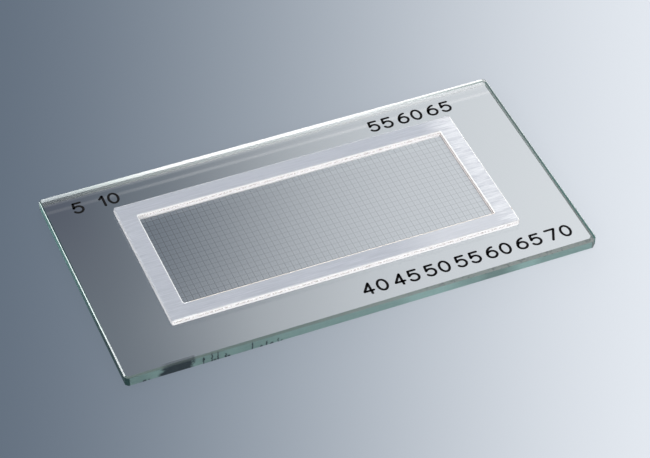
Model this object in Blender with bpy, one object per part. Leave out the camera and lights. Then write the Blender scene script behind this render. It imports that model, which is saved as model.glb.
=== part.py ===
"""Counting chamber: a ruled glass plate with a spacer frame cemented on it.

Lengths are in metres. The origin is the centre of the plate's underside. +X runs along the
plate, +Y across it towards the far edge, and +Z is up. The frame's window and the ruled glass
inside it make a well of 50 squares by 20, which are 1 mm each way and 1 mm deep.
"""

import math

import bmesh
import bpy

# Ruling and well: the well is a whole number of ruled squares
RULING_PITCH = 0.001
SQUARES_ALONG = 50
SQUARES_ACROSS = 20
WELL_DEPTH = 0.001
WELL_CORNER_RADIUS = 0.0002

# Ruled lines: shallow V grooves that run on a little way under the frame
GROOVE_WIDTH = 0.00006
GROOVE_DEPTH = 0.00002
GROOVE_RUN_UNDER = 0.0004

# Glass plate
PLATE_LENGTH = 0.075
PLATE_WIDTH = 0.040
PLATE_THICKNESS = 0.002

# Grinding of the plate's edges and corners, done by hand and so not even
CHAMFER_LIGHT = 0.00022
CHAMFER_HEAVY = 0.00045
CHAMFER_BROAD = 0.0009
CHAMFER_BROAD_FAR_END = 0.0007
CHAMFER_UNDER = 0.0003
CHAMFER_UNDER_FAR = 0.0007
CHAMFER_SLOPE = 1.0
CHAMFER_SLOPE_SHALLOW = 0.35
CORNER_CUT_LIGHT = 0.0004
CORNER_CUT_HEAVY = 0.0008

# Spacer frame: sheet etched from both faces, which leaves a low ridge round each wall
RAIL_WIDTH = 0.00285
FRAME_CORNER_RADIUS = 0.0003
EDGE_BREAK_WIDTH = 0.00015
EDGE_BREAK_DROP = 0.00005
WALL_RIDGE = 0.00005
WALL_STEPS = 6
CORNER_STEPS = 5

# Cement film between the frame and the plate
CEMENT_THICKNESS = 0.00004
CEMENT_SETBACK = 0.0001
SEAT_CLEARANCE = 0.00001

# Sizes that follow from those above
WELL_LENGTH = SQUARES_ALONG * RULING_PITCH
WELL_WIDTH = SQUARES_ACROSS * RULING_PITCH
FRAME_LENGTH = WELL_LENGTH + 2 * RAIL_WIDTH
FRAME_WIDTH = WELL_WIDTH + 2 * RAIL_WIDTH
CEMENT_BASE_Z = PLATE_THICKNESS + SEAT_CLEARANCE
FRAME_BASE_Z = CEMENT_BASE_Z + CEMENT_THICKNESS + SEAT_CLEARANCE
FRAME_THICKNESS = PLATE_THICKNESS + WELL_DEPTH - FRAME_BASE_Z

# Plate corners from near left, anticlockwise: side in X, side in Y, and how much is cut off
PLATE_CORNERS = (
    (-1, -1, CORNER_CUT_LIGHT),
    (1, -1, CORNER_CUT_HEAVY),
    (1, 1, CORNER_CUT_LIGHT),
    (-1, 1, CORNER_CUT_LIGHT),
)
# Chamfers of the near, right, far and left edges: how far each reaches in at the edge's start
# and at its end, and its depth for each unit of that reach
UPPER_CHAMFERS = (
    (CHAMFER_LIGHT, CHAMFER_HEAVY, CHAMFER_SLOPE),
    (CHAMFER_BROAD, CHAMFER_BROAD_FAR_END, CHAMFER_SLOPE_SHALLOW),
    (CHAMFER_LIGHT, CHAMFER_LIGHT, CHAMFER_SLOPE),
    (CHAMFER_LIGHT, CHAMFER_LIGHT, CHAMFER_SLOPE),
)
LOWER_CHAMFERS = (
    (CHAMFER_UNDER, CHAMFER_UNDER, CHAMFER_SLOPE),
    (CHAMFER_UNDER, CHAMFER_UNDER, CHAMFER_SLOPE),
    (CHAMFER_UNDER_FAR, CHAMFER_UNDER_FAR, CHAMFER_SLOPE_SHALLOW),
    (CHAMFER_UNDER, CHAMFER_UNDER, CHAMFER_SLOPE),
)


def remove_all_objects():
    """Empty the scene, the startup objects among them."""
    for existing in list(bpy.data.objects):
        bpy.data.objects.remove(existing, do_unlink=True)


def make_material(name, color, roughness, metallic=0.0, transmission=0.0, ior=1.5):
    """Plain Principled material."""
    material = bpy.data.materials.new(name)
    material.use_nodes = True
    shader = material.node_tree.nodes["Principled BSDF"]
    shader.inputs["Base Color"].default_value = (*color, 1.0)
    shader.inputs["Roughness"].default_value = roughness
    shader.inputs["Metallic"].default_value = metallic
    shader.inputs["Transmission Weight"].default_value = transmission
    shader.inputs["IOR"].default_value = ior
    return material


def make_object(name, bm, material, parent, height=0.0, smooth_under=None):
    """Object from a finished bmesh, standing at a height under its parent."""
    bmesh.ops.recalc_face_normals(bm, faces=bm.faces)
    mesh = bpy.data.meshes.new(name)
    bm.to_mesh(mesh)
    bm.free()
    mesh.materials.append(material)
    if smooth_under is not None:
        mesh.shade_smooth()
        mesh.set_sharp_from_angle(angle=smooth_under)
    piece = bpy.data.objects.new(name, mesh)
    bpy.context.scene.collection.objects.link(piece)
    piece.parent = parent
    piece.location.z = height
    return piece


def add_ring(bm, points):
    """Vertices at the points, in order."""
    return [bm.verts.new(point) for point in points]


def join_rings(bm, first, second):
    """Band of quads between two rings with the same number of vertices."""
    for index, vertex in enumerate(first):
        following = (index + 1) % len(first)
        bm.faces.new((vertex, first[following], second[following], second[index]))


def plate_ring(chamfers, z, at_side=False, upwards=1):
    """Points of the corner-cut rectangle, two for each edge, anticlockwise from near left.

    Where a chamfer meets the flat face, each edge lies inwards by the chamfer's reach, and z is
    that face's height. There a corner's cut lies inwards by the mean of its two edges. Where a
    chamfer meets the side, the edge keeps its place and z moves off the face by its depth.
    """
    points = []
    count = len(PLATE_CORNERS)
    for number, (start_reach, end_reach, slope) in enumerate(chamfers):
        start_x, start_y, start_cut = PLATE_CORNERS[number]
        end_x, end_y, end_cut = PLATE_CORNERS[(number + 1) % count]
        reach_before = chamfers[number - 1][1]
        reach_after = chamfers[(number + 1) % count][0]
        along = ((end_x - start_x) / 2, (end_y - start_y) / 2)
        inward = (-along[1], along[0])
        ends = (
            (start_x, start_y, start_cut, start_reach, reach_before, 1),
            (end_x, end_y, end_cut, end_reach, reach_after, -1),
        )
        for side_x, side_y, cut, reach, next_reach, direction in ends:
            inset = 0.0 if at_side else reach
            cut_inset = 0.0 if at_side else (reach + next_reach) / 2
            shift = direction * (cut + cut_inset * math.sqrt(2) - inset)
            x = side_x * PLATE_LENGTH / 2 + along[0] * shift + inward[0] * inset
            y = side_y * PLATE_WIDTH / 2 + along[1] * shift + inward[1] * inset
            depth = reach * slope if at_side else 0.0
            points.append((x, y, z - upwards * depth))
    return points


def line_places(squares):
    """Centre of each ruled line that parts the squares along one axis."""
    return [(number - squares / 2) * RULING_PITCH for number in range(1, squares)]


def ledge_places(lines, reach):
    """Both rims of every groove, with the two ends of the ruled field outside them."""
    rims = [line + side * GROOVE_WIDTH / 2 for line in lines for side in (-1, 1)]
    return [-reach, *rims, reach]


def add_ruled_field(bm, z):
    """Squares of flat glass parted by V grooves, which cross. Returns the field's four sides.

    Each square has a level top and a slope into the groove on every side that has one. The
    grooves end in a short rise, a little way under the frame.
    """
    reach_x = WELL_LENGTH / 2 + GROOVE_RUN_UNDER
    reach_y = WELL_WIDTH / 2 + GROOVE_RUN_UNDER
    lines_x = line_places(SQUARES_ALONG)
    lines_y = line_places(SQUARES_ACROSS)
    rise = GROOVE_WIDTH / 2
    deep_x = [rise - reach_x, *lines_x, reach_x - rise]
    deep_y = [rise - reach_y, *lines_y, reach_y - rise]
    last_x = len(deep_x) - 1
    last_y = len(deep_y) - 1

    level = [
        [bm.verts.new((x, y, z)) for y in ledge_places(lines_y, reach_y)]
        for x in ledge_places(lines_x, reach_x)
    ]
    deep = {}
    for i, x in enumerate(deep_x):
        for j, y in enumerate(deep_y):
            if i in (0, last_x) and j in (0, last_y):
                continue
            deep[i, j] = bm.verts.new((x, y, z - GROOVE_DEPTH))

    for i in range(last_x):
        for j in range(last_y):
            near_left = level[2 * i][2 * j]
            near_right = level[2 * i + 1][2 * j]
            far_right = level[2 * i + 1][2 * j + 1]
            far_left = level[2 * i][2 * j + 1]
            bm.faces.new((near_left, near_right, far_right, far_left))
            if j > 0:
                bm.faces.new((near_right, near_left, deep[i, j], deep[i + 1, j]))
            if i + 1 < last_x:
                bm.faces.new((far_right, near_right, deep[i + 1, j], deep[i + 1, j + 1]))
            if j + 1 < last_y:
                bm.faces.new((far_left, far_right, deep[i + 1, j + 1], deep[i, j + 1]))
            if i > 0:
                bm.faces.new((near_left, far_left, deep[i, j + 1], deep[i, j]))

    for i in range(1, last_x):
        bm.faces.new((level[2 * i - 1][0], level[2 * i][0], deep[i, 0]))
        bm.faces.new((level[2 * i][-1], level[2 * i - 1][-1], deep[i, last_y]))
    for j in range(1, last_y):
        bm.faces.new((level[0][2 * j], level[0][2 * j - 1], deep[0, j]))
        bm.faces.new((level[-1][2 * j - 1], level[-1][2 * j], deep[last_x, j]))

    near = [column[0] for column in level]
    far = [column[-1] for column in level]
    return near, level[-1], far[::-1], level[0][::-1]


def add_level_glass(bm, rim, field_sides):
    """Level glass round the ruled field: a fan from each edge of the plate to the field."""
    for number, side in enumerate(field_sides):
        start = rim[2 * number]
        end = rim[2 * number + 1]
        beyond = rim[(2 * number + 2) % len(rim)]
        middle = len(side) // 2
        for step in range(len(side) - 1):
            corner = start if step < middle else end
            bm.faces.new((corner, side[step + 1], side[step]))
        bm.faces.new((start, end, side[middle]))
        bm.faces.new((end, beyond, side[-1]))


def build_plate(parent, material):
    """Glass plate with ground edges, cut corners and the ruling in its upper face."""
    bm = bmesh.new()
    underside = add_ring(bm, plate_ring(LOWER_CHAMFERS, 0.0))
    side_foot = add_ring(bm, plate_ring(LOWER_CHAMFERS, 0.0, at_side=True, upwards=-1))
    side_head = add_ring(bm, plate_ring(UPPER_CHAMFERS, PLATE_THICKNESS, at_side=True))
    rim = add_ring(bm, plate_ring(UPPER_CHAMFERS, PLATE_THICKNESS))
    bm.faces.new(underside[::-1])
    join_rings(bm, underside, side_foot)
    join_rings(bm, side_foot, side_head)
    join_rings(bm, side_head, rim)
    add_level_glass(bm, rim, add_ruled_field(bm, PLATE_THICKNESS))
    return make_object("glass_plate", bm, material, parent)


def round_cornered_ring(length, width, radius, z):
    """Points of a rectangle with round corners, anticlockwise from the near left corner."""
    points = []
    for number, (side_x, side_y, _) in enumerate(PLATE_CORNERS):
        centre_x = side_x * (length / 2 - radius)
        centre_y = side_y * (width / 2 - radius)
        for step in range(CORNER_STEPS + 1):
            angle = math.pi + (number + step / CORNER_STEPS) * math.pi / 2
            x = centre_x + radius * math.cos(angle)
            y = centre_y + radius * math.sin(angle)
            points.append((x, y, z))
    return points


def frame_ring(offset, z):
    """Ring at the frame's outer wall, moved outwards by the offset."""
    return round_cornered_ring(
        FRAME_LENGTH + 2 * offset, FRAME_WIDTH + 2 * offset, FRAME_CORNER_RADIUS + offset, z
    )


def window_ring(offset, z):
    """Ring at the frame's window, moved outwards, into the metal, by the offset."""
    return round_cornered_ring(
        WELL_LENGTH + 2 * offset, WELL_WIDTH + 2 * offset, WELL_CORNER_RADIUS + offset, z
    )


def wall_profile():
    """How far an etched wall stands proud, and its height: two hollows that meet in a ridge."""
    wall_height = FRAME_THICKNESS - EDGE_BREAK_DROP
    profile = []
    for step in range(WALL_STEPS + 1):
        rise = step / WALL_STEPS
        closeness = 1 - abs(2 * rise - 1)
        profile.append((WALL_RIDGE * closeness**2, rise * wall_height))
    return profile


def build_frame(parent, material):
    """Flat frame with etched walls and lightly broken upper edges."""
    bm = bmesh.new()
    outline = [frame_ring(proud, z) for proud, z in wall_profile()]
    outline.append(frame_ring(-EDGE_BREAK_WIDTH, FRAME_THICKNESS))
    outline.append(window_ring(EDGE_BREAK_WIDTH, FRAME_THICKNESS))
    outline.extend(window_ring(-proud, z) for proud, z in reversed(wall_profile()))
    rings = [add_ring(bm, points) for points in outline]
    for number, ring in enumerate(rings):
        join_rings(bm, ring, rings[(number + 1) % len(rings)])
    sharp_over = math.radians(35)
    return make_object("spacer_frame", bm, material, parent, FRAME_BASE_Z, sharp_over)


def build_cement(parent, material):
    """Thin film of cement, set back from both walls of the frame above it."""
    bm = bmesh.new()
    outline = (
        frame_ring(-CEMENT_SETBACK, 0.0),
        frame_ring(-CEMENT_SETBACK, CEMENT_THICKNESS),
        window_ring(CEMENT_SETBACK, CEMENT_THICKNESS),
        window_ring(CEMENT_SETBACK, 0.0),
    )
    rings = [add_ring(bm, points) for points in outline]
    for number, ring in enumerate(rings):
        join_rings(bm, ring, rings[(number + 1) % len(rings)])
    return make_object("cement_film", bm, material, parent, CEMENT_BASE_Z)


def main():
    """Build the chamber under one empty."""
    remove_all_objects()
    glass = make_material("soda_lime_glass", (0.82, 0.90, 0.87), 0.02, transmission=1.0, ior=1.52)
    metal = make_material("brushed_aluminium", (0.80, 0.81, 0.84), 0.35, metallic=1.0)
    cement = make_material("clear_cement", (0.72, 0.66, 0.55), 0.4)
    chamber = bpy.data.objects.new("counting_chamber", None)
    bpy.context.scene.collection.objects.link(chamber)
    build_plate(chamber, glass)
    build_cement(chamber, cement)
    build_frame(chamber, metal)


main()
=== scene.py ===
"""Looks of the counting chamber: ground glass, brushed frame, ruled well, printed scales."""

import math

import bmesh
import bpy
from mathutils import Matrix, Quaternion, Vector


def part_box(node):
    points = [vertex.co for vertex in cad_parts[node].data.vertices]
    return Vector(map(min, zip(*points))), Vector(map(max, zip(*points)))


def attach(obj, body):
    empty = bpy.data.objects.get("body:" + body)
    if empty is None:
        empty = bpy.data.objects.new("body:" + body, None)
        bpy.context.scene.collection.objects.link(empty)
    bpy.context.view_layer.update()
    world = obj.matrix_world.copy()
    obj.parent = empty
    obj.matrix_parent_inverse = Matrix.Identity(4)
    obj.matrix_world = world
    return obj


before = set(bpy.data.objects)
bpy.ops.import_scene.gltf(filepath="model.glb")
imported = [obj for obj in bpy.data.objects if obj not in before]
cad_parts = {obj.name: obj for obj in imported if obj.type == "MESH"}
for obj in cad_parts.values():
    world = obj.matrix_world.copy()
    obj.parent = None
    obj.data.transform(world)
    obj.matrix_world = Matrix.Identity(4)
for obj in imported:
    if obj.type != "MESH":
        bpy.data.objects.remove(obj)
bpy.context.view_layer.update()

MM = 0.001
MM_PER_M = 1000.0

# Camera, solved from the straight edges in the photograph
IMAGE_WIDTH_PX = 650
FOCAL_LENGTH_PX = 2545
SENSOR_WIDTH_MM = 36
CAMERA_PLACE = Vector((-0.10623, -0.25661, 0.26749))
CAMERA_FORWARD = Vector((0.27861, 0.66399, -0.6939))
CAMERA_ROLL = math.radians(0.26)
CLIP_NEAR = 0.01
CLIP_FAR = 10.0

# Horizontal directions of the view: away from the camera, and to its right
VIEW_AWAY = Vector((CAMERA_FORWARD.x, CAMERA_FORWARD.y, 0.0)).normalized()
VIEW_RIGHT = Vector((VIEW_AWAY.y, -VIEW_AWAY.x, 0.0))

# Reaches of the plate and the spacer frame from the plate's middle, and their top faces, in
# millimetres. The frame's box holds the ridge that stands out from its outer walls.
PLATE_LOW, PLATE_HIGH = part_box("glass_plate")
PLATE_END, PLATE_SIDE, PLATE_FACE = PLATE_HIGH * MM_PER_M
RIDGE_END, RIDGE_SIDE, FRAME_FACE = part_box("spacer_frame")[1] * MM_PER_M
WALL_RIDGE = 0.05
RAIL_WIDTH = 2.85
FRAME_END = RIDGE_END - WALL_RIDGE
FRAME_SIDE = RIDGE_SIDE - WALL_RIDGE
WELL_END = FRAME_END - RAIL_WIDTH
WELL_SIDE = FRAME_SIDE - RAIL_WIDTH


class Graph:
    """Short calls for building a node tree."""

    def __init__(self, tree):
        self.nodes = tree.nodes
        self.links = tree.links
        self.nodes.clear()

    def add(self, kind, **settings):
        """New node with its settings."""
        node = self.nodes.new(kind)
        for name, value in settings.items():
            setattr(node, name, value)
        return node

    def feed(self, socket, value):
        """Link an output to a socket, or set a constant on it."""
        if isinstance(value, bpy.types.NodeSocket):
            self.links.new(value, socket)
        elif isinstance(value, (tuple, Vector)) and socket.type == "RGBA":
            socket.default_value = (*value, 1.0)
        else:
            socket.default_value = value

    def math(self, operation, first, second=0.0, clamp=False):
        """Arithmetic on one or two values."""
        node = self.add("ShaderNodeMath", operation=operation, use_clamp=clamp)
        self.feed(node.inputs[0], first)
        self.feed(node.inputs[1], second)
        return node.outputs[0]

    def inside(self, value, reach):
        """1 where the value lies nearer to 0 than the reach, else 0."""
        return self.math("LESS_THAN", self.math("ABSOLUTE", value), reach)

    def times(self, first, *others):
        """Product of values."""
        for other in others:
            first = self.math("MULTIPLY", first, other)
        return first

    def larger(self, first, *others):
        """Largest of values."""
        for other in others:
            first = self.math("MAXIMUM", first, other)
        return first

    def dot(self, first, second):
        """Dot product of two vectors."""
        node = self.add("ShaderNodeVectorMath", operation="DOT_PRODUCT")
        self.feed(node.inputs[0], first)
        self.feed(node.inputs[1], second)
        return node.outputs["Value"]

    def scale(self, vector, factors):
        """Vector times factors along each axis."""
        node = self.add("ShaderNodeVectorMath", operation="MULTIPLY")
        self.feed(node.inputs[0], vector)
        self.feed(node.inputs[1], factors)
        return node.outputs[0]

    def dim(self, vector, factor):
        """Vector or colour times one value."""
        node = self.add("ShaderNodeVectorMath", operation="SCALE")
        self.feed(node.inputs[0], vector)
        self.feed(node.inputs["Scale"], factor)
        return node.outputs[0]

    def plus(self, first, *others):
        """Sum of vectors or colours."""
        for other in others:
            node = self.add("ShaderNodeVectorMath", operation="ADD")
            self.feed(node.inputs[0], first)
            self.feed(node.inputs[1], other)
            first = node.outputs[0]
        return first

    def ramp(self, value, low, high, to_low=0.0, to_high=1.0, smooth=True):
        """Value carried from one range to another and held at its ends."""
        shape = "SMOOTHSTEP" if smooth else "LINEAR"
        node = self.add("ShaderNodeMapRange", interpolation_type=shape)
        for socket, number in zip(node.inputs, (value, low, high, to_low, to_high)):
            self.feed(socket, number)
        return node.outputs[0]

    def fade(self, value, low, high):
        """Fall from 1 to 0."""
        return self.ramp(value, low, high, 1.0, 0.0)

    def band(self, value, rise, fall, height=1.0):
        """Rise to a height and fall back to 0."""
        return self.times(self.ramp(value, *rise, 0.0, height), self.fade(value, *fall))

    def mix(self, share, first, second):
        """Blend of two colours."""
        node = self.add("ShaderNodeMix", data_type="RGBA")
        self.feed(node.inputs["Factor"], share)
        self.feed(node.inputs[6], first)
        self.feed(node.inputs[7], second)
        return node.outputs[2]

    def noise(self, vector, scale=1.0, detail=2.0, roughness=0.5):
        """Smooth noise from 0 to 1."""
        node = self.add("ShaderNodeTexNoise")
        self.feed(node.inputs["Vector"], vector)
        node.inputs["Scale"].default_value = scale
        node.inputs["Detail"].default_value = detail
        node.inputs["Roughness"].default_value = roughness
        return node.outputs["Fac"]

    def blend(self, share, first, second):
        """Blend of two shaders."""
        node = self.add("ShaderNodeMixShader")
        for socket, value in zip(node.inputs, (share, first, second)):
            self.feed(socket, value)
        return node.outputs[0]

    def place(self):
        """Coordinates of the piece, which are the part's own, in millimetres."""
        coordinates = self.add("ShaderNodeTexCoord").outputs["Object"]
        return self.scale(coordinates, (MM_PER_M,) * 3)

    def split(self, vector):
        """The three components of a vector."""
        node = self.add("ShaderNodeSeparateXYZ")
        self.feed(node.inputs[0], vector)
        return node.outputs[0], node.outputs[1], node.outputs[2]

    def bump(self, height, distance, strength=1.0):
        """Normal bent by a height."""
        node = self.add("ShaderNodeBump")
        node.inputs["Distance"].default_value = distance
        node.inputs["Strength"].default_value = strength
        self.feed(node.inputs["Height"], height)
        return node.outputs[0]


def new_material(name):
    """Material with an empty graph and its output."""
    material = bpy.data.materials.new(name)
    material.use_nodes = True
    graph = Graph(material.node_tree)
    output = graph.add("ShaderNodeOutputMaterial")
    return material, graph, output


# Where the faces of the plate begin. The shaders work in millimetres, from the plate's middle
# and its underside, and level is the upright share of a face's normal.
LEFT_EDGE = 0.6 - PLATE_END
RIGHT_EDGE = PLATE_END - 1.0
FAR_EDGE = PLATE_SIDE - 0.8
NEAR_EDGE = 0.6 - PLATE_SIDE
TOP_FACE = PLATE_FACE - 0.1
BOTTOM_FACE = 0.1
FIELD_MARGIN = 0.5
FLAT_LEVEL = 0.999
CHAMFER_LEVEL = 0.4


class PlateZones:
    """A point's place on the plate, and shares, 0 or 1, that tell which face it lies on."""

    def __init__(self, graph):
        self.place = graph.place()
        self.x, self.y, self.z = graph.split(self.place)
        normal = graph.add("ShaderNodeNewGeometry").outputs["True Normal"]
        level = graph.math("ABSOLUTE", graph.split(normal)[2])
        slanted = graph.math("LESS_THAN", level, FLAT_LEVEL)
        self.flat = graph.math("SUBTRACT", 1.0, slanted)
        self.on_top = graph.math("GREATER_THAN", self.z, TOP_FACE)
        inner_x = graph.inside(self.x, WELL_END + FIELD_MARGIN)
        inner_y = graph.inside(self.y, WELL_SIDE + FIELD_MARGIN)
        self.ruled = graph.times(inner_x, inner_y, self.on_top)
        self.groove = graph.times(slanted, self.ruled)
        self.edge = graph.math("SUBTRACT", slanted, self.groove)
        self.chamfer = graph.times(self.edge, graph.math("GREATER_THAN", level, CHAMFER_LEVEL))
        upper = graph.math("GREATER_THAN", self.z, PLATE_FACE / 2)
        top_chamfer = graph.times(self.chamfer, upper)
        self.left = graph.math("LESS_THAN", self.x, LEFT_EDGE)
        self.right = graph.times(graph.math("GREATER_THAN", self.x, RIGHT_EDGE), self.edge)
        self.far = graph.times(self.edge, graph.math("GREATER_THAN", self.y, FAR_EDGE))
        self.near = graph.math("LESS_THAN", self.y, NEAR_EDGE)
        self.left_top = graph.times(top_chamfer, self.left)
        self.near_top = graph.times(self.near, top_chamfer)


# Clear glass, with painted shade that makes it darker and more purple in the far left corner
GLASS_IOR = 1.52
GLASS_BODY = (0.375, 0.85, 0.80, 1.0)
GLASS_DENSITY = 20.0
GLASS_TINT = (1.0, 1.0, 1.0)
CORNER_PAINTED_SHADE = (0.62, 0.575, 0.66)
CORNER_ACROSS = (-14.0, 18.0)
CORNER_ALONG = (-36.0, -22.0)
# Ruled field, with its strip along the far wall: paler with painted light, then a painted
# shadow line, then a painted highlight at the wall's foot
FIELD_TINT = (0.93, 0.92, 0.935)
FIELD_FAR_PAINTED_LIGHT = (0.98, 0.98, 0.99)
FIELD_FAR_SPAN = (WELL_SIDE - 2.3, WELL_SIDE - 1.7)
FOOT_PAINTED_SHADOW = (0.20, 0.25, 0.24)
FOOT_SHADOW_SHARE = 0.2
FOOT_SHADOW_RISE = (WELL_SIDE - 0.36, WELL_SIDE - 0.28)
FOOT_SHADOW_FALL = (WELL_SIDE - 0.18, WELL_SIDE - 0.12)
FOOT_HIGHLIGHT_SPAN = (WELL_SIDE - 0.16, WELL_SIDE - 0.08)
FOOT_HIGHLIGHT_SHARE = 0.6
# Ruled lines: tints at both ends, depths across and along the plate, and the faint line that
# the photograph shows half-way between those across the plate
RULING_PITCH = 1.0
RULING_TINT_LEFT = (0.36, 0.365, 0.38)
RULING_TINT_RIGHT = (0.53, 0.54, 0.545)
RULING_TINT_SPAN = (-23.0, 4.0)
RULING_HALF_WIDTH = 0.05
RULING_SOFTNESS = 0.015
RULING_DEPTH_ACROSS = 1.0
RULING_DEPTH_ALONG = 0.9
RULING_RUN_UNDER = 0.4
# Painted reflection of each line across the plate, half-way between them: its depth and widening
PAINTED_REFLECTION_DEPTH = 0.2
PAINTED_REFLECTION_WIDENING = 2.4


def ruling_lines(graph, value, reach, along, reach_along, depth, painted_reflection=False):
    """Share of soft lines at the whole millimetres of one coordinate."""
    from_line = graph.math("PINGPONG", value, RULING_PITCH / 2)
    inner = RULING_HALF_WIDTH - RULING_SOFTNESS
    outer = RULING_HALF_WIDTH + RULING_SOFTNESS
    line = graph.ramp(from_line, inner, outer, depth, 0.0)
    # Painted reflection half-way between the lines
    if painted_reflection:
        reflection_outer = RULING_PITCH / 2 - RULING_HALF_WIDTH * PAINTED_REFLECTION_WIDENING
        reflection_inner = RULING_PITCH / 2 - RULING_HALF_WIDTH
        line = graph.larger(line, graph.ramp(from_line, reflection_outer, reflection_inner, 0.0, PAINTED_REFLECTION_DEPTH))
    between_walls = graph.inside(value, reach - RULING_PITCH / 2)
    along_line = graph.inside(along, reach_along + RULING_RUN_UNDER)
    return graph.times(line, between_walls, along_line)


def clear_tint(graph, zones):
    """Tint of the flat faces, with the ruled field and its lines."""
    x, y = zones.x, zones.y
    # Painted shade in the far left corner
    in_shaded_corner = graph.times(graph.ramp(y, *CORNER_ACROSS), graph.fade(x, *CORNER_ALONG))
    tint = graph.mix(in_shaded_corner, GLASS_TINT, CORNER_PAINTED_SHADE)
    # Painted light on the strip along the far wall, and a painted shadow line at its foot
    field = graph.mix(graph.ramp(y, *FIELD_FAR_SPAN), FIELD_TINT, FIELD_FAR_PAINTED_LIGHT)
    foot_shadow = graph.band(y, FOOT_SHADOW_RISE, FOOT_SHADOW_FALL, FOOT_SHADOW_SHARE)
    field = graph.mix(foot_shadow, field, FOOT_PAINTED_SHADOW)
    tint = graph.mix(zones.ruled, tint, field)
    across = ruling_lines(graph, x, WELL_END, y, WELL_SIDE, RULING_DEPTH_ACROSS, painted_reflection=True)
    along = ruling_lines(graph, y, WELL_SIDE, x, WELL_END, RULING_DEPTH_ALONG)
    line = graph.times(graph.larger(across, along), zones.on_top)
    line_tint = graph.mix(graph.ramp(x, *RULING_TINT_SPAN), RULING_TINT_LEFT, RULING_TINT_RIGHT)
    return graph.mix(line, tint, line_tint)


# Near edge: green face with patches of painted light and shade, each given by its place along
# the plate, half width and lightness, and a brown chamfer, darkened by painted shade, that
# grows paler to the right
EDGE_GREEN = (0.25, 0.37, 0.355)
EDGE_GREEN_DEEP = (0.15, 0.26, 0.245)
EDGE_STREAKS = (0.35, 0.35, 5.0)
NEAR_FACE_LIGHT_AND_SHADE = (
    (-36.0, 2.5, 0.80),
    (-24.5, 2.5, 0.82),
    (-18.0, 3.0, 0.88),
    (10.0, 5.0, 1.32),
    (20.5, 2.6, 0.74),
    (25.8, 2.2, 1.28),
)
LIGHT_AND_SHADE_CORE = 0.3
LIGHT_AND_SHADE_REACH = 1.3
BROWN_DEEP = (0.09, 0.14, 0.13)
BROWN = (0.195, 0.235, 0.225)
BROWN_PALE = (0.22, 0.25, 0.24)
BROWN_SPAN = (-20.0, 10.0)
BROWN_PALE_SPAN = (12.0, 24.0)
# Broken, dark glass on the near edge, in colours that also serve for painted shade
CHIP_AND_SHADE_DARK = (0.006, 0.010, 0.016)
CHIP_AND_SHADE_GREY = (0.045, 0.06, 0.07)
CHIP_AND_SHADE_GRAIN = (0.35, 0.65)
CHIP_AND_SHADE_SHARE = 0.95
# Its long patch of painted shade: span of each end, how far that end wanders and leans, and its
# fade at the top
PATCH_LEFT = (-32.1, -30.9)
PATCH_LEFT_GRAIN = (1.1, 0.0, 2.2)
PATCH_LEFT_WANDER = 2.0
PATCH_LEFT_LEAN = 0.45
PATCH_RIGHT = (-27.0, -26.0)
PATCH_RIGHT_GRAIN = (2.6, 0.0, 4.0)
PATCH_RIGHT_WANDER = 2.4
PATCH_RIGHT_LEAN = 0.35
PATCH_TOP_SPAN = (PLATE_FACE - 0.4, PLATE_FACE)
PATCH_TOP_SHARE = 0.5
# Nicks that rise from the lower arris: place along the plate, width and height
NICKS = (
    (-34.7, 0.30, 0.3),
    (-34.0, 0.10, 0.2),
    (-25.7, 0.06, 1.3),
    (-24.4, 0.06, 1.5),
    (-24.0, 0.30, 0.3),
    (-23.5, 0.06, 1.5),
    (-22.3, 0.06, 0.8),
    (-21.9, 0.26, 0.3),
    (-18.2, 0.06, 1.4),
    (-16.8, 0.24, 0.3),
    (-16.0, 0.06, 0.8),
    (-15.2, 0.26, 0.3),
    (-14.2, 0.06, 0.7),
    (-13.6, 0.20, 0.2),
)
NICK_WANDER = 0.7
NOISE_MIDDLE = 0.5
NICK_SIDE_SOFTNESS = 0.14
NICK_TOP_SOFTNESS = 0.5
# Small spots on the right half, thinning out downwards
SPOT_GRAIN = (2.4, 1.0, 3.0)
SPOT_THINNING = 0.14
SPOT_SPAN = (0.50, 0.60)
SPOT_ALONG = (2.0, 14.0)
SPOT_SHARE = 0.45


def near_edge_flaws(graph, zones):
    """Shares on the near edge: the patch of painted shade with the nicks, and the chipped spots."""
    place, x, z = zones.place, zones.x, zones.z
    wander = graph.noise(graph.scale(place, PATCH_LEFT_GRAIN), detail=3.0)
    from_left = graph.math("ADD", x, graph.times(wander, PATCH_LEFT_WANDER))
    from_left = graph.math("SUBTRACT", from_left, graph.times(z, PATCH_LEFT_LEAN))
    ragged = graph.noise(graph.scale(place, PATCH_RIGHT_GRAIN), detail=3.0)
    from_right = graph.math("ADD", x, graph.times(ragged, PATCH_RIGHT_WANDER))
    from_right = graph.math("SUBTRACT", from_right, graph.times(z, PATCH_RIGHT_LEAN))
    # Long patch of painted shade
    shade_and_nicks = graph.times(
        graph.ramp(from_left, *PATCH_LEFT),
        graph.fade(from_right, *PATCH_RIGHT),
        graph.ramp(z, *PATCH_TOP_SPAN, 1.0, PATCH_TOP_SHARE),
    )
    ragged = graph.math("SUBTRACT", ragged, NOISE_MIDDLE)
    crooked = graph.math("ADD", x, graph.times(ragged, NICK_WANDER))
    for middle, width, height in NICKS:
        aside = graph.math("ABSOLUTE", graph.math("SUBTRACT", crooked, middle))
        beside = graph.fade(aside, width / 2, width / 2 + NICK_SIDE_SOFTNESS)
        below = graph.fade(z, height, height + NICK_TOP_SOFTNESS)
        shade_and_nicks = graph.larger(shade_and_nicks, graph.times(beside, below))
    chip = graph.noise(graph.scale(place, SPOT_GRAIN), detail=3.0, roughness=0.6)
    drop = graph.times(graph.math("SUBTRACT", PLATE_FACE, z), SPOT_THINNING)
    spot = graph.ramp(graph.math("SUBTRACT", chip, drop), *SPOT_SPAN)
    spot = graph.times(spot, graph.ramp(x, *SPOT_ALONG), SPOT_SHARE)
    return graph.times(zones.near, shade_and_nicks), graph.times(zones.near, spot)


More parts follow.
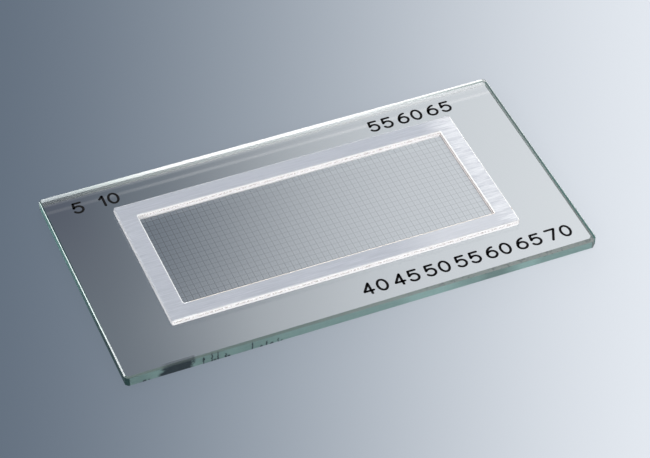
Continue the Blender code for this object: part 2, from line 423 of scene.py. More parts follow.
def blotches(graph, x):
    """Painted light and shade of the near edge face along the plate."""
    gain = 1.0
    for middle, half, lightness in NEAR_FACE_LIGHT_AND_SHADE:
        aside = graph.math("ABSOLUTE", graph.math("SUBTRACT", x, middle))
        light_and_shade = graph.ramp(aside, half * LIGHT_AND_SHADE_CORE, half * LIGHT_AND_SHADE_REACH, lightness, 1.0)
        gain = graph.times(gain, light_and_shade)
    return gain


# Right edge: painted light and shade of what shows through the chamfer, pale inwards, then dark,
# then a bright rim of painted highlight along the arris
RIGHT_PALE_NEAR = (0.12, 0.15, 0.145)
RIGHT_PALE = (0.20, 0.25, 0.24)
RIGHT_PALE_SPAN = (-12.0, 2.0)
EDGE_DARK = (0.012, 0.04, 0.04)
RIGHT_DARK_SPAN = (PLATE_END - 0.60, PLATE_END - 0.30)
RIGHT_RIM_HIGHLIGHT = (0.84, 0.91, 0.91)
RIGHT_RIM_SPAN = (PLATE_END - 0.19, PLATE_END - 0.08)
# Dull green strip inside that rim, stronger towards the near corner
RIGHT_DULL = (0.09, 0.22, 0.20)
RIGHT_DULL_RISE = (PLATE_END - 0.60, PLATE_END - 0.45)
RIGHT_DULL_FALL = (PLATE_END - 0.20, PLATE_END - 0.10)
RIGHT_DULL_ALONG = (-8.0, 6.0, 0.7, 0.25)
# Left edge: green face and a white rim of painted highlight on the top chamfer, which narrows away
# from the near corner and leaves a dark strip inside it
LEFT_SIDE_NEAR = (0.014, 0.05, 0.045)
LEFT_SIDE_FAR = (0.15, 0.32, 0.29)
LEFT_SIDE_SPAN = (-14.0, 12.0)
LEFT_RIM_HIGHLIGHT_NEAR = (0.84, 0.90, 0.90)
LEFT_RIM_HIGHLIGHT_FAR = (0.89, 1.0, 0.98)
LEFT_RIM_SPAN = (-14.0, -6.0)
LEFT_RIM_FALL = (0.17 - PLATE_END, 0.21 - PLATE_END)
LEFT_RIM_NARROWING = ((-15.5, -6.0, 0.0, -0.08), (-2.0, 10.0, 0.0, -0.035))
LEFT_RIM_SHARE = 0.9
LEFT_DULL_SPAN = (-12.0, 2.0)
LEFT_DULL_SHARE = 0.92


def left_edge_strips(graph, zones):
    """Shares of the left edge's white rim of painted highlight and of the dark strip inside it."""
    near_part, far_part = (graph.ramp(zones.y, *narrowing) for narrowing in LEFT_RIM_NARROWING)
    shift = graph.math("ADD", near_part, far_part)
    rim = graph.fade(graph.math("SUBTRACT", zones.x, shift), *LEFT_RIM_FALL)
    rim = graph.times(rim, zones.left_top)
    inside = graph.math("SUBTRACT", zones.left_top, rim)
    return rim, graph.times(inside, graph.ramp(zones.y, *LEFT_DULL_SPAN))


def edge_color(graph, zones, rim, shade, chips_and_shade):
    """Colour of the ground edges: left rim's painted highlight, near edge's painted shade and chips.
    """
    x, y = zones.x, zones.y
    streaks = graph.noise(graph.scale(zones.place, EDGE_STREAKS), detail=3.0, roughness=0.6)
    color = graph.mix(streaks, EDGE_GREEN_DEEP, EDGE_GREEN)
    # Painted light and shade along the near face
    color = graph.mix(zones.near, color, graph.dim(color, blotches(graph, x)))
    left_side = graph.mix(graph.ramp(y, *LEFT_SIDE_SPAN), LEFT_SIDE_NEAR, LEFT_SIDE_FAR)
    color = graph.mix(zones.left, color, left_side)
    # Painted light and shade of what shows through the right chamfer, and the painted highlight of
    # its rim
    right_side = graph.mix(graph.ramp(y, *RIGHT_PALE_SPAN), RIGHT_PALE_NEAR, RIGHT_PALE)
    right_side = graph.mix(graph.ramp(x, *RIGHT_DARK_SPAN), right_side, EDGE_DARK)
    right_side = graph.mix(graph.ramp(x, *RIGHT_RIM_SPAN), right_side, RIGHT_RIM_HIGHLIGHT)
    color = graph.mix(zones.right, color, right_side)
    # White rim of painted highlight on the left chamfer
    rim_tint = graph.mix(graph.ramp(y, *LEFT_RIM_SPAN), LEFT_RIM_HIGHLIGHT_NEAR, LEFT_RIM_HIGHLIGHT_FAR)
    color = graph.mix(rim, color, rim_tint)
    # Brown chamfer darkened by painted shade
    brown = graph.mix(graph.ramp(x, *BROWN_SPAN), BROWN_DEEP, BROWN)
    brown = graph.mix(graph.ramp(x, *BROWN_PALE_SPAN), brown, BROWN_PALE)
    color = graph.mix(zones.near_top, color, brown)
    # Painted shade of the long patch, and the real nicks and spots, in the colours of chipped glass
    return graph.mix(graph.times(shade, CHIP_AND_SHADE_SHARE), color, chips_and_shade)


# Surface of the ground edges
EDGE_FROST = 0.7
EDGE_ROUGHNESS = 0.45
EDGE_GRAIN_SCALE = 9.0
EDGE_GRAIN_HEIGHT = 0.00002
UPWARDS = (0.0, 0.0, 1.0)


def glass_surface(graph, zones, color, grain):
    """Polished faces, and ground edges that are rough and partly frosted."""
    shader = graph.add("ShaderNodeBsdfPrincipled")
    graph.feed(shader.inputs["Base Color"], color)
    frost = graph.times(zones.edge, EDGE_FROST)
    graph.feed(shader.inputs["Transmission Weight"], graph.math("SUBTRACT", 1.0, frost))
    graph.feed(shader.inputs["Roughness"], graph.times(zones.edge, EDGE_ROUGHNESS))
    shader.inputs["IOR"].default_value = GLASS_IOR
    rough_edge = graph.times(grain, graph.math("SUBTRACT", zones.edge, zones.far))
    upright = graph.add("ShaderNodeMix", data_type="VECTOR")
    graph.feed(upright.inputs["Factor"], zones.groove)
    graph.feed(upright.inputs[4], graph.bump(rough_edge, EDGE_GRAIN_HEIGHT))
    upright.inputs[5].default_value = UPWARDS
    graph.feed(shader.inputs["Normal"], upright.outputs[1])
    return shader.outputs[0]


# Far edge, lit from behind: its face, shaded low down at both ends, and its chamfers
FAR_GLOW_SHARE = 0.97
FAR_FACE_LEFT = (0.75, 0.83, 0.795)
FAR_FACE = (1.0, 1.0, 0.99)
FAR_FACE_SPAN = (-32.0, -14.0)
FAR_SHADE = (0.235, 0.29, 0.275)
FAR_SHADE_RIGHT = (6.0, 37.0)
FAR_SHADE_LEFT = (-34.0, -14.0, 0.35, 0.0)
FAR_SHADE_HEIGHT = (0.75, 1.2)
FAR_BEVEL_LEFT = (0.405, 0.455, 0.44)
FAR_BEVEL = (0.96, 0.99, 0.97)
FAR_BEVEL_SPAN = (-38.0, -6.0)
FAR_BEVEL_CLEAR_SPAN = (0.0, 20.0)
FAR_BEVEL_HEIGHT = (0.0, 0.15, 0.8, 1.0)


def far_edge_glow(graph, zones):
    """Light from behind that the far edge lets through."""
    x, z = zones.x, zones.z
    glow = graph.add("ShaderNodeBsdfTranslucent")
    face = graph.mix(graph.ramp(x, *FAR_FACE_SPAN), FAR_FACE_LEFT, FAR_FACE)
    shade_right = graph.ramp(x, *FAR_SHADE_RIGHT, smooth=False)
    shade = graph.math("ADD", shade_right, graph.ramp(x, *FAR_SHADE_LEFT))
    shade = graph.times(shade, graph.fade(z, *FAR_SHADE_HEIGHT))
    face = graph.mix(shade, face, FAR_SHADE)
    bevel = graph.mix(graph.ramp(x, *FAR_BEVEL_SPAN, smooth=False), FAR_BEVEL_LEFT, FAR_BEVEL)
    bevel = graph.mix(graph.ramp(x, *FAR_BEVEL_CLEAR_SPAN), bevel, GLASS_TINT)
    bevel = graph.scale(bevel, graph.ramp(z, *FAR_BEVEL_HEIGHT))
    graph.feed(glow.inputs["Color"], graph.mix(zones.chamfer, face, bevel))
    inwards = graph.add("ShaderNodeCombineXYZ")
    inwards.inputs[1].default_value = -1.0
    graph.feed(glow.inputs["Normal"], inwards.outputs[0])
    return glow.outputs[0]


# Painted light on the top face along the far edge, in two pale strips. It grows to the right, where
# the outer strip weakens.
PAINTED_LIGHT_TINT = (0.90, 0.90, 0.90)
FAR_LIGHT_INNER_RISE = (16.0, 16.4)
FAR_LIGHT_INNER_FALL = (16.6, 17.0)
FAR_LIGHT_OUTER_RISE = (17.75, 17.95)
FAR_LIGHT_OUTER_FALL = (18.25, 18.45)
FAR_LIGHT_OUTER_GAIN = (3.0, 12.0, 1.1, 0.5)
FAR_LIGHT_LEFT_SHARE = (-32.0, -12.0, 0.04, 0.11)
FAR_LIGHT_RIGHT_SHARE = (3.0, 12.0, 0.0, 0.06)
DULL_SHARE = 0.7


def dull_layer(graph, zones, rim, left_strip, shade_and_nicks, chips_and_shade):
    """Matt layer over the glass, and its share: painted shade with nicks, strips of the edges,
    painted light.
    """
    x, y = zones.x, zones.y
    right_strip = graph.band(x, RIGHT_DULL_RISE, RIGHT_DULL_FALL)
    right_strip = graph.times(right_strip, graph.times(zones.edge, graph.ramp(y, *RIGHT_DULL_ALONG)))
    share = graph.times(graph.larger(shade_and_nicks, left_strip, right_strip), DULL_SHARE)
    # Painted highlight of the left rim, partly matt
    rim_share = graph.times(rim, graph.ramp(y, *LEFT_RIM_SPAN, 0.0, LEFT_RIM_SHARE))
    share = graph.larger(share, graph.larger(rim_share, graph.times(left_strip, LEFT_DULL_SHARE)))
    # Painted light in two strips along the far edge
    outer = graph.band(y, FAR_LIGHT_OUTER_RISE, FAR_LIGHT_OUTER_FALL)
    outer = graph.times(outer, graph.ramp(x, *FAR_LIGHT_OUTER_GAIN))
    painted_light = graph.larger(graph.band(y, FAR_LIGHT_INNER_RISE, FAR_LIGHT_INNER_FALL), outer)
    painted_light = graph.times(painted_light, graph.times(zones.on_top, zones.flat))
    left_share, right_share = (graph.ramp(x, *rise) for rise in (FAR_LIGHT_LEFT_SHARE, FAR_LIGHT_RIGHT_SHARE))
    painted_light = graph.times(painted_light, graph.math("ADD", left_share, right_share))
    # Painted highlight at the far wall's foot
    foot_highlight = graph.times(zones.ruled, graph.ramp(y, *FOOT_HIGHLIGHT_SPAN, 0.0, FOOT_HIGHLIGHT_SHARE))
    painted_light = graph.larger(painted_light, foot_highlight)
    tint = graph.mix(left_strip, chips_and_shade, EDGE_DARK)
    tint = graph.mix(graph.math("GREATER_THAN", right_strip, 0.0), tint, RIGHT_DULL)
    tint = graph.mix(rim, tint, LEFT_RIM_HIGHLIGHT_FAR)
    tint = graph.mix(graph.math("GREATER_THAN", painted_light, 0.0), tint, PAINTED_LIGHT_TINT)
    matt = graph.add("ShaderNodeBsdfDiffuse")
    graph.feed(matt.inputs["Color"], tint)
    return graph.larger(share, painted_light), matt.outputs[0]


def glass_material():
    """Soda-lime glass: polished faces, ground edges, a darkened ruling and a green body."""
    material, graph, output = new_material("ground_and_polished_glass")
    zones = PlateZones(graph)
    grain = graph.noise(zones.place, scale=EDGE_GRAIN_SCALE, detail=3.0, roughness=0.7)
    chips_and_shade = graph.mix(graph.ramp(grain, *CHIP_AND_SHADE_GRAIN), CHIP_AND_SHADE_DARK, CHIP_AND_SHADE_GREY)
    rim, left_strip = left_edge_strips(graph, zones)
    shade_and_nicks, spot = near_edge_flaws(graph, zones)
    color = edge_color(graph, zones, rim, graph.larger(shade_and_nicks, spot), chips_and_shade)
    color = graph.mix(zones.edge, clear_tint(graph, zones), color)
    surface = glass_surface(graph, zones, color, grain)
    glow_share = graph.times(zones.far, FAR_GLOW_SHARE)
    surface = graph.blend(glow_share, surface, far_edge_glow(graph, zones))
    dull_share, dull = dull_layer(graph, zones, rim, left_strip, shade_and_nicks, chips_and_shade)
    surface = graph.blend(dull_share, surface, dull)
    # The underside lets light through without a mirror image of what stands on the glass
    bottom = graph.times(zones.flat, graph.math("LESS_THAN", zones.z, BOTTOM_FACE))
    clear = graph.add("ShaderNodeBsdfRefraction")
    clear.inputs["Roughness"].default_value = 0.0
    clear.inputs["IOR"].default_value = GLASS_IOR
    graph.feed(output.inputs["Surface"], graph.blend(bottom, surface, clear.outputs[0]))
    body = graph.add("ShaderNodeVolumeAbsorption")
    body.inputs["Color"].default_value = GLASS_BODY
    body.inputs["Density"].default_value = GLASS_DENSITY
    graph.feed(output.inputs["Volume"], body.outputs[0])
    return material


# Brushed top of the frame: tones, grain along its length, a painted highlight at the right end and
# on the near rail, and painted shade on the far rail
METAL_DEEP = (0.352, 0.372, 0.42)
METAL_BRIGHT = (0.50, 0.52, 0.57)
METAL_HIGHLIGHT = (0.765, 0.775, 0.80)
FINE_GRAIN = (0.3, 8.0, 8.0)
STREAK_GRAIN = (0.12, 5.0, 5.0)
TONE_SPAN = (0.36, 0.64)
HIGHLIGHT_GRAIN = (0.2, 1.7, 1.7)
HIGHLIGHT_GRAIN_SPAN = (0.36, 0.62, 0.42, 0.74)
HIGHLIGHT_FINE_SPAN = (0.35, 0.65, -0.3, 0.3)
HIGHLIGHT_SPAN = (22.0, 27.0)
NEAR_RAIL_HIGHLIGHT_SPAN = (6.0, 17.0, 0.0, 0.34)
FAR_RAIL_SHADE_SPAN = (12.0, 22.0, 0.28, 0.0)
RAIL_BOUND = WELL_SIDE - 0.5
# Etched walls: specks on the middle of the long ones; the end walls are grey at the left, and
# pink with a brown foot and line at the right
WALL_WHITE = (1.0, 0.985, 0.985)
WALL_SPECK = (0.50, 0.44, 0.43)
SPECK_GRAIN = (4.6, 4.6, 6.0)
SPECK_SPAN = (0.46, 0.58)
SPECK_RISE = (FRAME_FACE - 0.60, FRAME_FACE - 0.50)
SPECK_FALL = (FRAME_FACE - 0.28, FRAME_FACE - 0.18)
OUTER_END_GREY = (0.73, 0.735, 0.76)
INNER_END_PINK = (0.92, 0.87, 0.86)
INNER_END_BROWN = (0.27, 0.22, 0.20)
INNER_END_FOOT = (FRAME_FACE - 0.80, FRAME_FACE - 0.68)
INNER_END_LINE_RISE = (FRAME_FACE - 0.44, FRAME_FACE - 0.38)
INNER_END_LINE_FALL = (FRAME_FACE - 0.28, FRAME_FACE - 0.22)
INNER_END_TOP = (FRAME_FACE - 0.26, FRAME_FACE - 0.18)
# Broken edges of the top, each with its own brightness of painted highlight
ARRIS_WHITE = (0.97, 0.97, 0.96)
ARRIS_PALE = (0.64, 0.645, 0.66)
ARRIS_CREAM = (0.64, 0.57, 0.50)
ARRIS_SILVER = (0.78, 0.79, 0.80)
ARRIS_GREY = (0.47, 0.49, 0.53)
ARRIS_DEEP = (0.33, 0.34, 0.37)
# Bounds of those edges: the window's near one, the window's left one, and the outer ones
NEAR_INNER_BOUNDS = (WELL_SIDE + 0.3, 0.1 - WELL_SIDE)
LEFT_INNER_BOUNDS = (-WELL_END - 1.0, 1.0 - WELL_END)
OUTER_MARGIN = 0.35
# Levels and sideways shares of normals that tell walls, broken edges and end walls apart
WALL_LEVEL = 0.6
ARRIS_LEVEL = 0.98
END_WALL_TILT = 0.7
ALONG_TILT = 0.1
# How metallic, rough and grained each surface is
ARRIS_METALLIC = 0.3
WALL_METALLIC = 0.15
METAL_ANISOTROPY = 0.6
METAL_ROUGHNESS = (0.3, 0.7, 0.44, 0.54)
METAL_RELIEF = 0.00001
METAL_RELIEF_STRENGTH = 0.5
FINE_SHARE = 0.5


def brushed_color(graph, place, x, y, fine, tone):
    """Brushed metal, painted highlight at the right end and near rail, painted shade on the far
    rail.
    """
    brushed = graph.mix(graph.ramp(tone, *TONE_SPAN, smooth=False), METAL_DEEP, METAL_BRIGHT)
    # Painted highlight at the right end and on the near rail, broken up by noise
    uneven = graph.noise(graph.scale(place, HIGHLIGHT_GRAIN), detail=4.0, roughness=0.6)
    highlight = graph.math("ADD", graph.ramp(uneven, *HIGHLIGHT_GRAIN_SPAN), graph.ramp(fine, *HIGHLIGHT_FINE_SPAN))
    highlight = graph.math("MULTIPLY", graph.ramp(x, *HIGHLIGHT_SPAN), highlight, clamp=True)
    near_rail = graph.math("LESS_THAN", y, -RAIL_BOUND)
    near_highlight = graph.times(graph.ramp(x, *NEAR_RAIL_HIGHLIGHT_SPAN), near_rail)
    brushed = graph.mix(graph.larger(highlight, near_highlight), brushed, METAL_HIGHLIGHT)
    # Painted shade on the far rail
    far_rail = graph.math("GREATER_THAN", y, RAIL_BOUND)
    return graph.mix(graph.times(far_rail, graph.ramp(x, *FAR_RAIL_SHADE_SPAN)), brushed, METAL_DEEP)


def wall_color(graph, place, x, z, sideways):
    """Etched walls: specked along the rails, and grey or pink and brown at the bars' ends."""
    specks = graph.noise(graph.scale(place, SPECK_GRAIN), detail=3.0, roughness=0.75)
    specks = graph.times(graph.ramp(specks, *SPECK_SPAN), graph.band(z, SPECK_RISE, SPECK_FALL))
    etched = graph.mix(specks, WALL_WHITE, WALL_SPECK)
    line = graph.band(z, INNER_END_LINE_RISE, INNER_END_LINE_FALL)
    brown = graph.larger(graph.fade(z, *INNER_END_FOOT), line)
    inner_end = graph.mix(brown, INNER_END_PINK, INNER_END_BROWN)
    inner_end = graph.mix(graph.ramp(z, *INNER_END_TOP), inner_end, WALL_WHITE)
    end = graph.mix(graph.math("GREATER_THAN", x, 0.0), OUTER_END_GREY, inner_end)
    return graph.mix(graph.math("GREATER_THAN", sideways, END_WALL_TILT), etched, end)


def arris_color(graph, x, y, sideways):
    """Painted highlights of the top's arrises: white on the bars, pale on the rails, four of them
    apart.
    """
    reach, near_limit = NEAR_INNER_BOUNDS
    near_inner = graph.times(graph.inside(y, reach), graph.math("LESS_THAN", y, near_limit))
    low, high = LEFT_INNER_BOUNDS
    inner_left = graph.times(graph.math("LESS_THAN", x, high), graph.math("GREATER_THAN", x, low))
    outer_left = graph.math("LESS_THAN", x, OUTER_MARGIN - FRAME_END)
    outer_far = graph.math("GREATER_THAN", y, FRAME_SIDE - OUTER_MARGIN)
    arris = graph.mix(graph.math("LESS_THAN", sideways, ALONG_TILT), ARRIS_WHITE, ARRIS_PALE)
    arris = graph.mix(near_inner, arris, ARRIS_CREAM)
    arris = graph.mix(inner_left, arris, ARRIS_SILVER)
    arris = graph.mix(outer_left, arris, ARRIS_GREY)
    return graph.mix(outer_far, arris, ARRIS_DEEP)


def frame_material():
    """Aluminium brushed along its length, with etched matt walls and painted highlights and shade on
    top.
    """
    material, graph, output = new_material("brushed_aluminium")
    shader = graph.add("ShaderNodeBsdfPrincipled")
    place = graph.place()
    x, y, z = graph.split(place)
    normal_x, _, normal_z = graph.split(graph.add("ShaderNodeNewGeometry").outputs["True Normal"])
    sideways = graph.math("ABSOLUTE", normal_x)
    level = graph.math("ABSOLUTE", normal_z)
    wall = graph.math("LESS_THAN", level, WALL_LEVEL)
    top = graph.math("SUBTRACT", 1.0, wall)
    arris = graph.times(graph.math("LESS_THAN", level, ARRIS_LEVEL), top)
    fine = graph.noise(graph.scale(place, FINE_GRAIN), detail=4.0, roughness=0.7)
    streak = graph.noise(graph.scale(place, STREAK_GRAIN), detail=3.0, roughness=0.65)
    tone = graph.math("ADD", graph.times(fine, FINE_SHARE), graph.times(streak, 1.0 - FINE_SHARE))
    color = brushed_color(graph, place, x, y, fine, tone)
    color = graph.mix(wall, color, wall_color(graph, place, x, z, sideways))
    color = graph.mix(arris, color, arris_color(graph, x, y, sideways))
    graph.feed(shader.inputs["Base Color"], color)
    matt = graph.times(wall, 1.0 - WALL_METALLIC)
    matt = graph.math("ADD", matt, graph.times(arris, 1.0 - ARRIS_METALLIC))
    graph.feed(shader.inputs["Metallic"], graph.math("SUBTRACT", 1.0, matt))
    shader.inputs["Anisotropic"].default_value = METAL_ANISOTROPY
    tangent = graph.add("ShaderNodeTangent", direction_type="RADIAL", axis="X")
    graph.feed(shader.inputs["Tangent"], tangent.outputs[0])
    graph.feed(shader.inputs["Roughness"], graph.ramp(tone, *METAL_ROUGHNESS, smooth=False))
    relief = graph.bump(graph.times(tone, top), METAL_RELIEF, METAL_RELIEF_STRENGTH)
    graph.feed(shader.inputs["Normal"], relief)
    graph.feed(output.inputs["Surface"], shader.outputs[0])
    return material


CEMENT_DARK = (0.30, 0.28, 0.25)
CEMENT_PALE = (0.44, 0.42, 0.38)
CEMENT_ROUGHNESS = 0.45


def cement_material():
    """Clear cement against the frame's underside."""
    material, graph, output = new_material("clear_cement")
    shader = graph.add("ShaderNodeBsdfPrincipled")
    patches = graph.noise(graph.place(), scale=0.7, detail=3.0)
    graph.feed(shader.inputs["Base Color"], graph.mix(patches, CEMENT_DARK, CEMENT_PALE))
    shader.inputs["Roughness"].default_value = CEMENT_ROUGHNESS
    graph.feed(output.inputs["Surface"], shader.outputs[0])
    return material


ENAMEL_BLACK = (0.002, 0.002, 0.002)
ENAMEL_GREY = (0.006, 0.006, 0.007)
ENAMEL_ROUGHNESS = (0.3, 0.7, 0.5, 0.65)
ENAMEL_SPECULAR = 0.04


def enamel_material():
    """Fired black enamel, faintly uneven."""
    material, graph, output = new_material("mark_enamel")
    shader = graph.add("ShaderNodeBsdfPrincipled")
    mottle = graph.noise(graph.place(), scale=3.0, detail=4.0, roughness=0.6)
    graph.feed(shader.inputs["Base Color"], graph.mix(mottle, ENAMEL_BLACK, ENAMEL_GREY))
    graph.feed(shader.inputs["Roughness"], graph.ramp(mottle, *ENAMEL_ROUGHNESS))
    shader.inputs["Specular IOR Level"].default_value = ENAMEL_SPECULAR
    graph.feed(output.inputs["Surface"], shader.outputs[0])
    return material


# Printed marks: numerals of a scale that counts millimetres from the plate's left end, drawn in
# strokes with round ends. A digit's box runs from 0 to 1 each way; arcs are given by middle,
# half width, half height, and first and last angle in degrees.
DIGIT_HEIGHT = 0.00212
DIGIT_WIDTH = 0.00146
DIGIT_GAP = 0.00042
STROKE_WIDTH = 0.0004
ARC_STEP = 12.0
CAP_STEPS = 6
SAME_PLACE = STROKE_WIDTH / 20
MARK_SINK = 0.000004
MARK_THICKNESS = 0.000016
FAR_FOOT = 0.01488
NEAR_FOOT = -0.01772
DIGITS = {
    "0": (1.0, (("arc", 0.5, 0.5, 0.5, 0.5, 0, 360),)),
    "1": (0.36, (("line", 0.36, 0.0, 0.36, 1.0), ("line", 0.36, 1.0, 0.0, 0.74))),
    "4": (
        1.0,
        (
            ("line", 0.72, 0.0, 0.72, 1.0),
            ("line", 0.72, 1.0, 0.0, 0.28),
            ("line", 0.0, 0.28, 1.0, 0.28),
        ),
    ),
    "5": (
        1.0,
        (
            ("line", 0.92, 1.0, 0.16, 1.0),
            ("line", 0.16, 1.0, 0.07, 0.53),
            ("arc", 0.49, 0.335, 0.51, 0.335, 145, -150),
        ),
    ),
    "6": (
        1.0,
        (
            ("arc", 0.5, 0.325, 0.5, 0.325, 0, 360),
            ("arc", 0.82, 0.325, 0.82, 0.675, 180, 92),
        ),
    ),
    "7": (1.0, (("line", 0.0, 1.0, 1.0, 1.0), ("line", 1.0, 1.0, 0.34, 0.0))),
}
SCALES = (
    ("marks_far_left", (5, 10), FAR_FOOT),
    ("marks_far_right", (55, 60, 65), FAR_FOOT),
    ("marks_near_right", (40, 45, 50, 55, 60, 65, 70), NEAR_FOOT),
)


def stroke_points(stroke):
    """Points along the middle of one stroke, in metres from the digit's lower left corner."""
    if stroke[0] == "line":
        ends = (stroke[1:3], stroke[3:5])
        return [Vector((x * DIGIT_WIDTH, y * DIGIT_HEIGHT)) for x, y in ends]
    middle_x, middle_y, half_x, half_y, first, last = stroke[1:]
    steps = round(abs(last - first) / ARC_STEP)
    points = []
    for step in range(steps + 1):
        angle = math.radians(first + (last - first) * step / steps)
        x = middle_x + half_x * math.cos(angle)
        y = middle_y + half_y * math.sin(angle)
        points.append(Vector((x * DIGIT_WIDTH, y * DIGIT_HEIGHT)))
    return points


def add_stroke(bm, points, corner, foot_z):
    """Flat band with round ends along the points, raised by the marks' thickness."""
    half = STROKE_WIDTH / 2
    closed = (points[0] - points[-1]).length < SAME_PLACE
    if closed:
        points = points[:-1]
    count = len(points)
    left, right = [], []
    for index, point in enumerate(points):
        before = points[index - 1] if closed or index > 0 else point
        after = points[(index + 1) % count] if closed or index + 1 < count else point
        ahead = (after - before).normalized()
        aside = Vector((-ahead.y, ahead.x)) * half
        for side, place in ((left, point + aside), (right, point - aside)):
            side.append(bm.verts.new((corner.x + place.x, corner.y + place.y, foot_z)))
    faces = []
    for index in range(count if closed else count - 1):
        following = (index + 1) % count
        faces.append(bm.faces.new((left[index], right[index], right[following], left[following])))
    if not closed:
        for end, other, first, second in ((0, 1, left, right), (-1, -2, right, left)):
            outwards = (points[end] - points[other]).normalized()
            across = Vector((outwards.y, -outwards.x))
            rim = []
            for step in range(1, CAP_STEPS):
                angle = math.pi * step / CAP_STEPS
                bulge = math.cos(angle) * across + math.sin(angle) * outwards
                place = points[end] + half * bulge
                rim.append(bm.verts.new((corner.x + place.x, corner.y + place.y, foot_z)))
            faces.append(bm.faces.new((first[end], *rim, second[end])))
    raised = bmesh.ops.extrude_face_region(bm, geom=faces)
    top = [item for item in raised["geom"] if isinstance(item, bmesh.types.BMVert)]
    bmesh.ops.translate(bm, verts=top, vec=(0.0, 0.0, MARK_THICKNESS))


def make_marks(name, numbers, foot, material):
    """One scale: a numeral at each place, raised a little from the glass."""
    bm = bmesh.new()
    space = STROKE_WIDTH + DIGIT_GAP
    for number in numbers:
        digits = [DIGITS[digit] for digit in str(number)]
        width = sum(share * DIGIT_WIDTH for share, _ in digits) + space * (len(digits) - 1)
        corner = Vector((PLATE_LOW.x + number * MM - width / 2, foot))
        for share, strokes in digits:
            for stroke in strokes:
                add_stroke(bm, stroke_points(stroke), corner, PLATE_HIGH.z - MARK_SINK)
            corner.x += share * DIGIT_WIDTH + space
    bmesh.ops.recalc_face_normals(bm, faces=bm.faces)
    mesh = bpy.data.meshes.new(name)
    bm.to_mesh(mesh)
    bm.free()
    mesh.materials.append(material)
    marks = bpy.data.objects.new(name, mesh)
    bpy.context.scene.collection.objects.link(marks)
    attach(marks, "root")


def finish_node(name, material):
    """Give a node of the frame its material."""
    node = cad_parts[name]
    node.data.materials.clear()
    node.data.materials.append(material)


def make_camera():
    """Camera where the photograph was taken from."""
    data = bpy.data.cameras.new("camera")
    data.sensor_width = SENSOR_WIDTH_MM
    data.lens = FOCAL_LENGTH_PX * SENSOR_WIDTH_MM / IMAGE_WIDTH_PX
    data.clip_start = CLIP_NEAR
    data.clip_end = CLIP_FAR
    camera = bpy.data.objects.new("camera", data)
    bpy.context.scene.collection.objects.link(camera)
    camera.location = CAMERA_PLACE
    look = CAMERA_FORWARD.to_track_quat("-Z", "Y")
    roll = Quaternion((0.0, 0.0, 1.0), CAMERA_ROLL)
    camera.rotation_mode = "QUATERNION"
    camera.rotation_quaternion = look @ roll
    bpy.context.scene.camera = camera


# Floor: slate at the left of the view to pale at its right, in display values, fanning out
# from a point in front of the part, like the light of one lamp
FLOOR_LEFT = (0.362, 0.410, 0.467)
FLOOR_RIGHT = (0.910, 0.930, 0.957)
DISPLAY_GAMMA = 2.2
FLOOR_SPAN = (-0.1287, 0.1259)
FLOOR_APEX = 0.5355
FLOOR_REACH = 3.0
FLOOR_DROP = 0.00002
FLOOR_GLOW = 0.85
FLOOR_PAINT_SHARE = 0.87
# Floor seen through the glass: what is left of its tone under painted shade, and a neutral painted
# sheen over it that grows from left to right
THROUGH_SHARE = 0.61
THROUGH_SHEEN = (0.03, 0.225)
THROUGH_SPAN = (-0.0467, 0.0297)


def make_floor():
    """Floor that runs softly from slate to pale across the view."""
    mesh = bpy.data.meshes.new("floor")
    r = FLOOR_REACH
    mesh.from_pydata([(-r, -r, 0), (r, -r, 0), (r, r, 0), (-r, r, 0)], [], [(0, 1, 2, 3)])
    floor = bpy.data.objects.new("floor", mesh)
    bpy.context.scene.collection.objects.link(floor)
    floor.location.z = -FLOOR_DROP
    material, graph, output = new_material("floor_paint")
    place = graph.add("ShaderNodeTexCoord").outputs["Object"]
    across = graph.dot(place, VIEW_RIGHT)
    away = graph.math("ADD", graph.dot(place, VIEW_AWAY), FLOOR_APEX)
    across = graph.math("DIVIDE", across, graph.math("MAXIMUM", away, FLOOR_APEX / 2))
    share = graph.ramp(across, *FLOOR_SPAN)
    gamma = graph.add("ShaderNodeGamma")
    graph.feed(gamma.inputs["Color"], graph.mix(share, FLOOR_LEFT, FLOOR_RIGHT))
    gamma.inputs["Gamma"].default_value = DISPLAY_GAMMA
    color = gamma.outputs[0]
    paint = graph.add("ShaderNodeBsdfDiffuse")
    graph.feed(paint.inputs["Color"], graph.scale(color, (FLOOR_PAINT_SHARE,) * 3))
    # Floor seen through the glass: painted shade, and a painted sheen
    through = graph.add("ShaderNodeVectorMath", operation="MULTIPLY_ADD")
    graph.feed(through.inputs[0], color)
    through.inputs[1].default_value = (THROUGH_SHARE,) * 3
    sheen = graph.ramp(across, *THROUGH_SPAN, *THROUGH_SHEEN)
    graph.feed(through.inputs[2], sheen)
    path = graph.add("ShaderNodeLightPath")
    behind_glass = path.outputs["Is Transmission Ray"]
    glow = graph.add("ShaderNodeEmission")
    graph.feed(glow.inputs["Color"], graph.mix(behind_glass, color, through.outputs[0]))
    seen = graph.larger(path.outputs["Is Camera Ray"], path.outputs["Is Glossy Ray"])
    seen = graph.larger(graph.times(seen, FLOOR_GLOW), behind_glass)
    graph.feed(output.inputs["Surface"], graph.blend(seen, paint.outputs[0], glow.outputs[0]))
    mesh.materials.append(material)


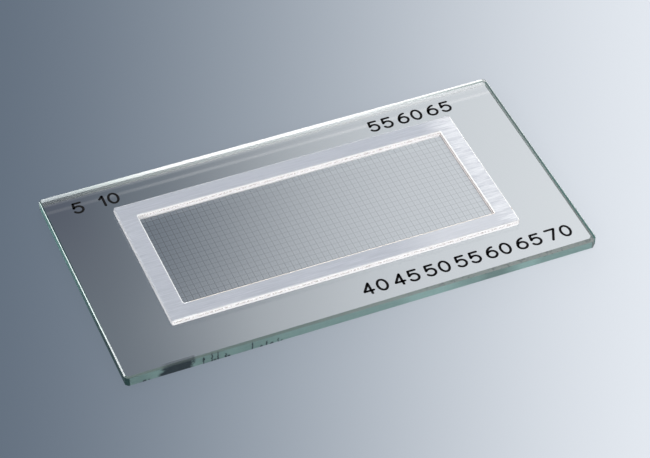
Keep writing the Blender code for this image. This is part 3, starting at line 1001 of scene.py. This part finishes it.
# Light panels round the part: middle and half width in degrees right of the view's far side,
# softness of the sides, lowest and highest elevation, softness, colour and strength
PANELS = (
    (-3.4, 2.2, 1.4, 45.0, 46.8, 0.8, (1.0, 1.0, 1.0), 0.5),
    (-5.0, 4.5, 2.0, 43.6, 48.0, 0.8, (1.0, 1.0, 1.0), 0.2),
    (9.0, 12.4, 3.6, 36.0, 52.0, 3.0, (1.0, 1.0, 1.0), 1.3),
    (-69.0, 22.0, 8.0, 4.0, 32.0, 4.0, (1.0, 1.0, 1.0), 4.0),
    (180.0, 60.0, 12.0, 0.0, 45.0, 6.0, (1.0, 1.0, 1.0), 2.8),
    (0.0, 181.0, 0.5, 64.0, 200.0, 5.0, (0.95, 0.98, 1.0), 1.1),
    (-14.0, 20.0, 6.0, 2.0, 22.0, 4.0, (1.0, 1.0, 1.0), 8.5),
    (40.0, 25.0, 8.0, 8.0, 60.0, 8.0, (1.0, 1.0, 1.0), 1.5),
)
DEGREES = 180 / math.pi
WORLD_BASE = (0.06, 0.065, 0.07)
BACKDROP = (0.83, 0.86, 0.89)


def make_world():
    """Soft panels of light, with a plain pale backdrop where the camera sees past the floor."""
    world = bpy.data.worlds.new("studio")
    bpy.context.scene.world = world
    world.use_nodes = True
    graph = Graph(world.node_tree)
    output = graph.add("ShaderNodeOutputWorld")
    direction = graph.add("ShaderNodeTexCoord").outputs["Generated"]
    elevation = graph.math("ARCSINE", graph.split(direction)[2])
    elevation = graph.times(elevation, DEGREES)
    panels = []
    for middle, half, side_soft, low, high, end_soft, color, strength in PANELS:
        turn = Quaternion((0.0, 0.0, 1.0), math.radians(-middle))
        ahead = graph.dot(direction, turn @ VIEW_AWAY)
        aside = graph.dot(direction, turn @ VIEW_RIGHT)
        angle = graph.math("ARCTAN2", aside, ahead)
        angle = graph.math("ABSOLUTE", graph.times(angle, DEGREES))
        within = graph.fade(angle, half - side_soft, half + side_soft)
        above = graph.ramp(elevation, low - end_soft, low + end_soft)
        below = graph.fade(elevation, high - end_soft, high + end_soft)
        part = graph.times(within, graph.times(above, below), strength)
        panels.append(graph.dim(color, part))
    light = graph.add("ShaderNodeBackground")
    graph.feed(light.inputs["Color"], graph.plus(*panels, WORLD_BASE))
    plain = graph.add("ShaderNodeBackground")
    plain.inputs["Color"].default_value = (*BACKDROP, 1.0)
    to_camera = graph.add("ShaderNodeLightPath").outputs["Is Camera Ray"]
    blend = graph.blend(to_camera, light.outputs[0], plain.outputs[0])
    graph.feed(output.inputs["Surface"], blend)


make_camera()
make_floor()
make_world()
bpy.context.scene.view_settings.view_transform = "Standard"
finish_node("glass_plate", glass_material())
finish_node("spacer_frame", frame_material())
finish_node("cement_film", cement_material())
enamel = enamel_material()
for scale in SCALES:
    make_marks(*scale, enamel)
